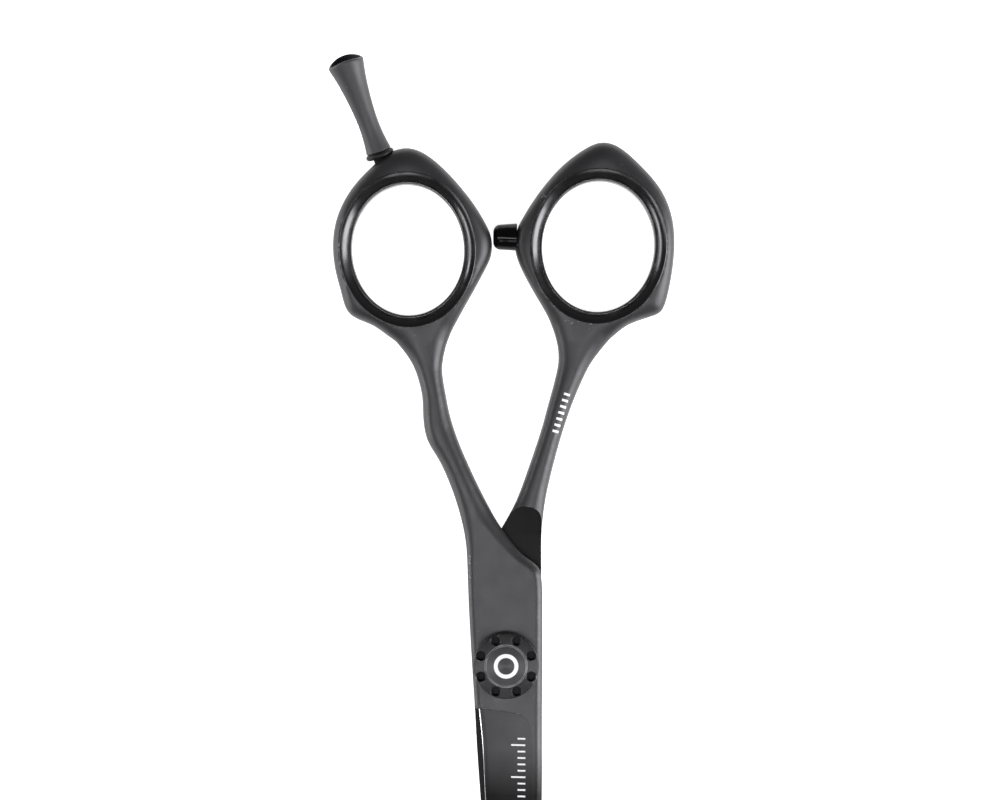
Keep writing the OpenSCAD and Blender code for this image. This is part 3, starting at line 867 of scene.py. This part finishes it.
FLECK_HEIGHTS = (MID + 1.9, MID + 2.0)        # flecks fade in between these heights


def nicked(made, places):
    """Bares small flecks on the front edges inside boxes of a centre and half its sides."""
    in_front = made.remap(made.millimetres(2), *FLECK_HEIGHTS)
    flecks = made.maths("MULTIPLY", made.remap(made.noise(0.6), 0.58, 0.62), in_front)
    for centre, reach in places:
        box = made.maths("MULTIPLY", made.within(made.millimetres(0), centre[0], reach[0]),
                         made.within(made.millimetres(1), centre[1], reach[1]))
        made.colour = made.mix(made.maths("MULTIPLY", box, flecks), made.colour, grey(0.12, 1.0))
    made.put("Base Color", made.colour)
    return made


BLACK_FROM, BLACK_AT = -13.0, -20.5       # where down the blade the painted dark reflection turns the coat black


def paint_dark_reflection_to_tip(made):
    """Paints the coat black and less reflective down the blade: painted shade standing in for the
    dark reflection there.
    """
    beyond = made.remap(made.millimetres(1), BLACK_FROM, BLACK_AT)
    made.colour = made.mix(beyond, made.colour, grey(0.002))
    made.put("Base Color", made.colour)
    made.put("Specular IOR Level", made.remap(beyond, 0.0, 1.0, 0.5, 0.12))
    return made


def tick_row(made, along, across, pitch, width, length):
    """Short bars at a pitch along one measure, of a length along the other."""
    cell = made.maths("SUBTRACT", made.maths("FRACT", made.maths("DIVIDE", along[0], pitch)), 0.5)
    bar = made.within(made.maths("MULTIPLY", cell, pitch), 0.0, width / 2)
    span = made.within(along[0], *along[1])
    reach = made.within(across[0], across[1], length / 2)
    return made.maths("MULTIPLY", made.maths("MULTIPLY", bar, span), reach)


def turned_rings(made, pitch, depth):
    """Fine concentric grooves about the pivot, as a lathe leaves them."""
    phase = made.maths("MULTIPLY", made.radius(), 2 * math.pi / pitch)
    made.bump(made.maths("MULTIPLY_ADD", made.maths("SINE", phase), 0.5, 0.5), depth)
    return made


def brushed_round(made, amount):
    """Spreads reflections away from the pivot, as fine circular brushing does."""
    circling = made.add("ShaderNodeTangent", direction_type="RADIAL", axis="Z").outputs[0]
    made.put("Tangent", circling)
    made.put("Anisotropic", amount)
    made.put("Anisotropic Rotation", 0.25)
    return made


def rubber(name, level, roughness, unevenness=0.008):
    made = Finish(name, Base_Color=grey(level), Specular_IOR_Level=0.7)
    rough = made.remap(made.noise(3.0, 4.0), 0.3, 0.7, roughness - 0.06, roughness + 0.08)
    made.put("Roughness", rough)
    swell = made.bump(made.noise(2.5, 1.0), unevenness)
    made.bump(made.noise(0.2, 2.0), 0.0008, over=swell)
    return made


def metal(name, colour, roughness, stretch=(1, 1, 1), depth=0.002):
    """Bare metal with fine marks drawn out along the stretched direction."""
    made = Finish(name, Metallic=1.0)
    marks = made.noise(0.12, 3.0, stretch)
    shade = made.mix(marks, tuple(c * 0.8 for c in colour), colour)
    made.put("Base Color", shade)
    made.put("Roughness", made.remap(marks, 0.3, 0.7, roughness, roughness + 0.15))
    made.bump(marks, depth)
    return made


def turned_metal(name, colour, roughness, pitch=0.16):
    """Bare metal with rings from a lathe about the pivot."""
    return turned_rings(metal(name, colour, roughness), pitch, 0.004)


def plain_sheet(name, colour):
    made = Finish(name, Subsurface_Weight=0.05)
    made.put("Base Color", made.mix(made.noise(1.2), tuple(c * 0.9 for c in colour), colour))
    made.put("Roughness", made.remap(made.noise(0.5), 0.3, 0.7, 0.45, 0.6))
    made.bump(made.noise(0.2), 0.002)
    return made


def dress(piece, finish):
    piece.data.materials.clear()
    piece.data.materials.append(finish.material)


def also(piece, finish, chosen):
    """Gives another finish to the faces that a test chooses."""
    piece.data.materials.append(finish.material)
    number = len(piece.data.materials) - 1
    for face in piece.data.polygons:
        if chosen(face):
            face.material_index = number


NEAR = 0.02               # a face this near a level counts as on it


def on_bevel(half):
    """A test for the faces of a half's polished bevel."""
    def chosen(face):
        x, y, z = face.center
        beside = x - float(half.edge_x(y))
        return (y < BLADE_TOP and beside < BEVEL_WIDTH + 0.03
                and z > FACE_IN + NEAR and face.normal.z > 0.2)
    return chosen


def on_inner_face(face):
    return face.normal.z < -0.9 and abs(face.center.z - FACE_IN) < NEAR


def in_dish(face):
    reach = math.hypot(face.center.x, face.center.y)
    return face.normal.z > 0.1 and reach < REST_RADII[2] - 0.34 and face.center.z > 10


def in_key_hole(face):
    beside = abs(math.hypot(face.center.x, face.center.y) - KEY_CIRCLE)
    depth = KNOB_TOP - face.center.z
    return beside < KEY_HOLE[0] + 0.05 and 0.08 < depth < KEY_HOLE[1] + 0.05


# ---------------------------------------------------------------- the pieces in the frame

COAT_LEVEL, COAT_ROUGHNESS = 0.016, 0.42
FRONT = (MID + 0.4, MID + 0.5)                # prints fade in between these heights
RULER = (-30.0, 19.0)                         # centre and half of its length
TICK_WIDTH = 0.26
BAR_PITCH, BAR_WIDTH, BAR_LENGTH = 1.0, 0.36, 0.95
# The bevel's second colour is painted shade, where its highlight has faded out
BEVEL_COLOUR, PAINTED_BEVEL_SHADE = (0.9, 0.9, 0.92), (0.12, 0.12, 0.12)

finger_coat = paint_dark_reflection_to_tip(coated("satin_coat_finger", COAT_LEVEL, COAT_ROUGHNESS))
nicked(finger_coat, (((-5.8, 14.0), (0.3, 3.4)), ((1.6, 10.9), (0.15, 0.15))))
down_blade = finger_coat.millimetres(1), RULER
short_ticks = tick_row(finger_coat, down_blade, (finger_coat.millimetres(0), 2.4),
                       pitch=1.0, width=TICK_WIDTH, length=1.2)
long_ticks = tick_row(finger_coat, down_blade, (finger_coat.millimetres(0), 1.9),
                      pitch=5.0, width=TICK_WIDTH, length=2.2)
ruler = finger_coat.maths("MAXIMUM", short_ticks, long_ticks)
front = finger_coat.remap(finger_coat.millimetres(2), *FRONT)
printed(finger_coat, finger_coat.maths("MULTIPLY", ruler, front))

thumb_coat = paint_dark_reflection_to_tip(coated("satin_coat_thumb", COAT_LEVEL, COAT_ROUGHNESS))
nicked(thumb_coat, (((6.0, 72.6), (0.8, 1.1)), ((11.0, 53.3), (2.5, 0.3))))
MARK_START, MARK_END = (7.55, 35.9), (9.65, 42.7)
mark = np.array(MARK_END) - np.array(MARK_START)
mark_length = float(np.linalg.norm(mark))
mark_x, mark_y = (float(v) for v in mark / mark_length)
thumb_x = thumb_coat.maths("SUBTRACT", thumb_coat.millimetres(0), MARK_START[0])
thumb_y = thumb_coat.maths("SUBTRACT", thumb_coat.millimetres(1), MARK_START[1])
along = thumb_coat.maths("ADD", thumb_coat.maths("MULTIPLY", thumb_x, mark_x),
                         thumb_coat.maths("MULTIPLY", thumb_y, mark_y))
across = thumb_coat.maths("SUBTRACT", thumb_coat.maths("MULTIPLY", thumb_x, mark_y),
                          thumb_coat.maths("MULTIPLY", thumb_y, mark_x))
bars = tick_row(thumb_coat, (along, (mark_length / 2, mark_length / 2)), (across, 0.0),
                pitch=BAR_PITCH, width=BAR_WIDTH, length=BAR_LENGTH)
thumb_front = thumb_coat.remap(thumb_coat.millimetres(2), *FRONT)
printed(thumb_coat, thumb_coat.maths("MULTIPLY", bars, thumb_front))

polished = metal("polished_bevel", BEVEL_COLOUR, 0.15, (1, 12, 1), 0.0008)
# Painted highlight fade: the bevel's colour dims from bright to dark down the blade, standing in
# for its highlight dying out
bevel_highlight_fade = polished.remap(polished.millimetres(1), -9.0, -15.0)
polished.put("Base Color", polished.mix(bevel_highlight_fade, BEVEL_COLOUR, PAINTED_BEVEL_SHADE))
# Painted shade: the inner faces and the key holes lie in shade, so they get a near-black coat
# that barely reflects
inner_painted_shade = coated("inner_face_painted_shade", 0.003, 0.5, grain=0.0012)
# Painted shade: a darker coat inside the finger rest's dish, where the hollow lies in shade
dish_painted_shade = coated("rest_dish_painted_shade", 0.006, 0.6)

# The outline is closed over each bore's mouth and over the joint of ring and shank
finger = Half("finger_half", "finger_ring_insert", ((REST_FOOT, 2.9), ((-9.7, 50.1), 3.2)))
thumb = Half("thumb_half", "thumb_ring_insert",
             (((0.25 - BUMPER_PLACE[0], BUMPER_PLACE[1]), 2.7), ((-8.3, 51.1), 3.2)), turned=True)
for half, name, node, body, coat in (
        (finger, "finger_half_coated", "finger_half", "finger_side", finger_coat),
        (thumb, "thumb_half_coated", "thumb_half", "thumb_side", thumb_coat)):
    piece = shaped_half(half, name, finger=not half.turned)
    dress(piece, coat)
    also(piece, polished, on_bevel(half))
    also(piece, inner_painted_shade, on_inner_face)
    settle(piece, turned=half.turned)
    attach(piece, body)
    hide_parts(node)

insert_rubber = rubber("insert_rubber_gloss", 0.003, 0.22)
bumper_rubber = rubber("bumper_rubber_gloss", 0.002, 0.15, unevenness=0.12)
seal_rubber = rubber("seal_rubber", 0.002, 0.5)
rest_coat = coated("rest_coat", 0.026, 0.5, grain=0.003)
GROOVES = (0.12, 0.004)                       # pitch and depth of the turned grooves
knob_coat = brushed_round(turned_rings(coated("knob_coat", 0.006, 0.4), *GROOVES), 0.85)
cap_coat = brushed_round(turned_rings(coated("cap_coat", 0.012, 0.4), *GROOVES), 0.6)
# Painted highlight: a broken bright ring on both sides of the gap round the cap, standing in for
# light caught by its rim
for made, rim in ((knob_coat, CAP_RADIUS + 0.1), (cap_coat, CAP_RADIUS - 0.1)):
    rim_highlight_paint = made.maths("MULTIPLY", made.within(made.radius(), rim, 0.05),
                          made.remap(made.noise(1.2), 0.35, 0.6, 0.35, 1.0))
    made.colour = made.mix(rim_highlight_paint, made.colour, grey(0.25, 1.0))
    made.put("Base Color", made.colour)
CAP_RING = (1.6, 0.3)                         # radius and half the width of the white ring
printed(cap_coat, cap_coat.within(cap_coat.radius(), *CAP_RING))
# The low levels for the inner faces and the rest's dish are part of their painted shade
for made, level in ((inner_painted_shade, 0.15), (dish_painted_shade, 0.2), (seal_rubber, 0.3),
                    (bumper_rubber, 0.15), (knob_coat, 0.35), (cap_coat, 0.45)):
    made.put("Specular IOR Level", level)

for piece, body, node, finish, slot, turned, place in (
        (insert_ring("finger_insert_lipped", "finger_ring_insert", False),
         "finger_side", "finger_ring_insert", insert_rubber, "insert_rubber", False, None),
        (insert_ring("thumb_insert_lipped", "thumb_ring_insert", True),
         "thumb_side", "thumb_ring_insert", insert_rubber, "insert_rubber", True, None),
        (bumper_shape(), "thumb_side", "bumper", bumper_rubber, "insert_rubber", False,
         BUMPER_AXIS),
        (finger_rest_shape(), "rest", "finger_rest", rest_coat, "rest_coating", False, REST_AXIS),
        (o_ring_shape(), "rest_seal", "finger_rest_o_ring", seal_rubber, "insert_rubber", False,
         REST_AXIS),
        (knob_shape(), "knob", "adjusting_knob", knob_coat, "knob_coating", False, None),
        (cap_shape(), "knob", "knob_cap", cap_coat, "cap_coating", False, None)):
    dress(piece, finish)
    if node == "finger_rest":
        also(piece, dish_painted_shade, in_dish)
    if node == "adjusting_knob":
        also(piece, inner_painted_shade, in_key_hole)
    settle(piece, turned=turned, place=place)
    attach(piece, body)
    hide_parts(node)

steel = (0.56, 0.57, 0.58)
for node, finish in (
        ("finger_rest_stud", metal("stud_black_oxide", (0.012, 0.012, 0.013), 0.55)),
        ("pivot_bolt", turned_metal("bolt_turned", steel, 0.25)),
        ("bearing_bush", turned_metal("bush_bronze", (0.5, 0.34, 0.17), 0.3)),
        ("inner_glide_washer", plain_sheet("inner_washer_sheet", (0.75, 0.73, 0.68))),
        ("outer_glide_washer", plain_sheet("outer_washer_sheet", (0.72, 0.71, 0.67))),
        ("disc_spring", turned_metal("spring_steel", (0.4, 0.41, 0.43), 0.3, 0.1)),
        ("detent_disc", turned_metal("detent_steel", steel, 0.3, 0.12))):
    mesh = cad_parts[node].data
    mesh.materials.clear()
    mesh.materials.append(finish.material)


# ---------------------------------------------------------------- stage, light and camera

FLOOR_REACH, FLOOR_LEVEL = 2500, -0.2
floor = mesh_object("floor", [(x * FLOOR_REACH, y * FLOOR_REACH, FLOOR_LEVEL)
                              for x, y in ((-1, -1), (1, -1), (1, 1), (-1, 1))], [(0, 1, 2, 3)])
floor.data.transform(Matrix.Scale(MM, 4))
pale = Finish("pale_floor", Base_Color=grey(0.8, 1.0), Roughness=0.9)
pale.put("Emission Color", grey(1.0, 1.0))
pale.put("Emission Strength", 0.95)
floor.data.materials.append(pale.material)

LIGHT_COLOUR = (1.0, 0.99, 1.03)


def soft_light(name, place, aim, width, height, power):
    """A soft box in metres and watts that the camera does not see."""
    data = bpy.data.lights.new(name, "AREA")
    data.shape = "RECTANGLE"
    data.size, data.size_y, data.energy = width, height, power
    data.color = LIGHT_COLOUR
    lamp = bpy.data.objects.new(name, data)
    lamp.location = place
    lamp.rotation_euler = (Vector(aim) - Vector(place)).to_track_quat("-Z", "Y").to_euler()
    lamp.visible_camera = False
    bpy.context.scene.collection.objects.link(lamp)


middle, pivot = (0.0, 0.04, 0.0), (0.0, 0.0, 0.0)
soft_light("right_box", (0.8, -0.05, 0.22), middle, width=0.5, height=0.8, power=13.0)
soft_light("left_box", (-0.8, 0.0, 0.1), middle, width=0.7, height=0.2, power=3.5)
soft_light("fill_box", (-0.42, -0.1, 0.68), pivot, width=0.25, height=0.25, power=1.0)
soft_light("front_box", (0.0, -0.32, 0.5), pivot, width=0.2, height=0.15, power=0.35)
soft_light("top_box", (0.0, -0.09, 0.7), pivot, width=0.6, height=0.06, power=2.0)

HORIZON, OVERHEAD = 0.2, 0.1                  # brightness of the sky
world = bpy.data.worlds.new("studio")
world.use_nodes = True
bpy.context.scene.world = world
sky = world.node_tree
background = sky.nodes["Background"]
direction = sky.nodes.new("ShaderNodeTexCoord").outputs["Generated"]
height = sky.nodes.new("ShaderNodeSeparateXYZ")
sky.links.new(direction, height.inputs[0])
fall = sky.nodes.new("ShaderNodeMapRange")
sky.links.new(height.outputs[2], fall.inputs["Value"])
for label, value in (("From Min", 0.0), ("From Max", 0.8), ("To Min", HORIZON),
                     ("To Max", OVERHEAD)):
    fall.inputs[label].default_value = value
sky.links.new(fall.outputs[0], background.inputs["Color"])
background.inputs["Strength"].default_value = 1.0

VIEW_CENTRE = (-0.94, 41.25)
VIEW_WIDTH = 156.25
VIEW_DISTANCE = 600.0
camera_data = bpy.data.cameras.new("front_view")
camera_data.sensor_width = 36.0
camera_data.lens = camera_data.sensor_width * VIEW_DISTANCE / VIEW_WIDTH
camera = bpy.data.objects.new("front_view", camera_data)
camera.location = (VIEW_CENTRE[0] * MM, VIEW_CENTRE[1] * MM, (MID + VIEW_DISTANCE) * MM)
bpy.context.scene.collection.objects.link(camera)
bpy.context.scene.camera = camera
bpy.context.scene.view_settings.view_transform = "Standard"
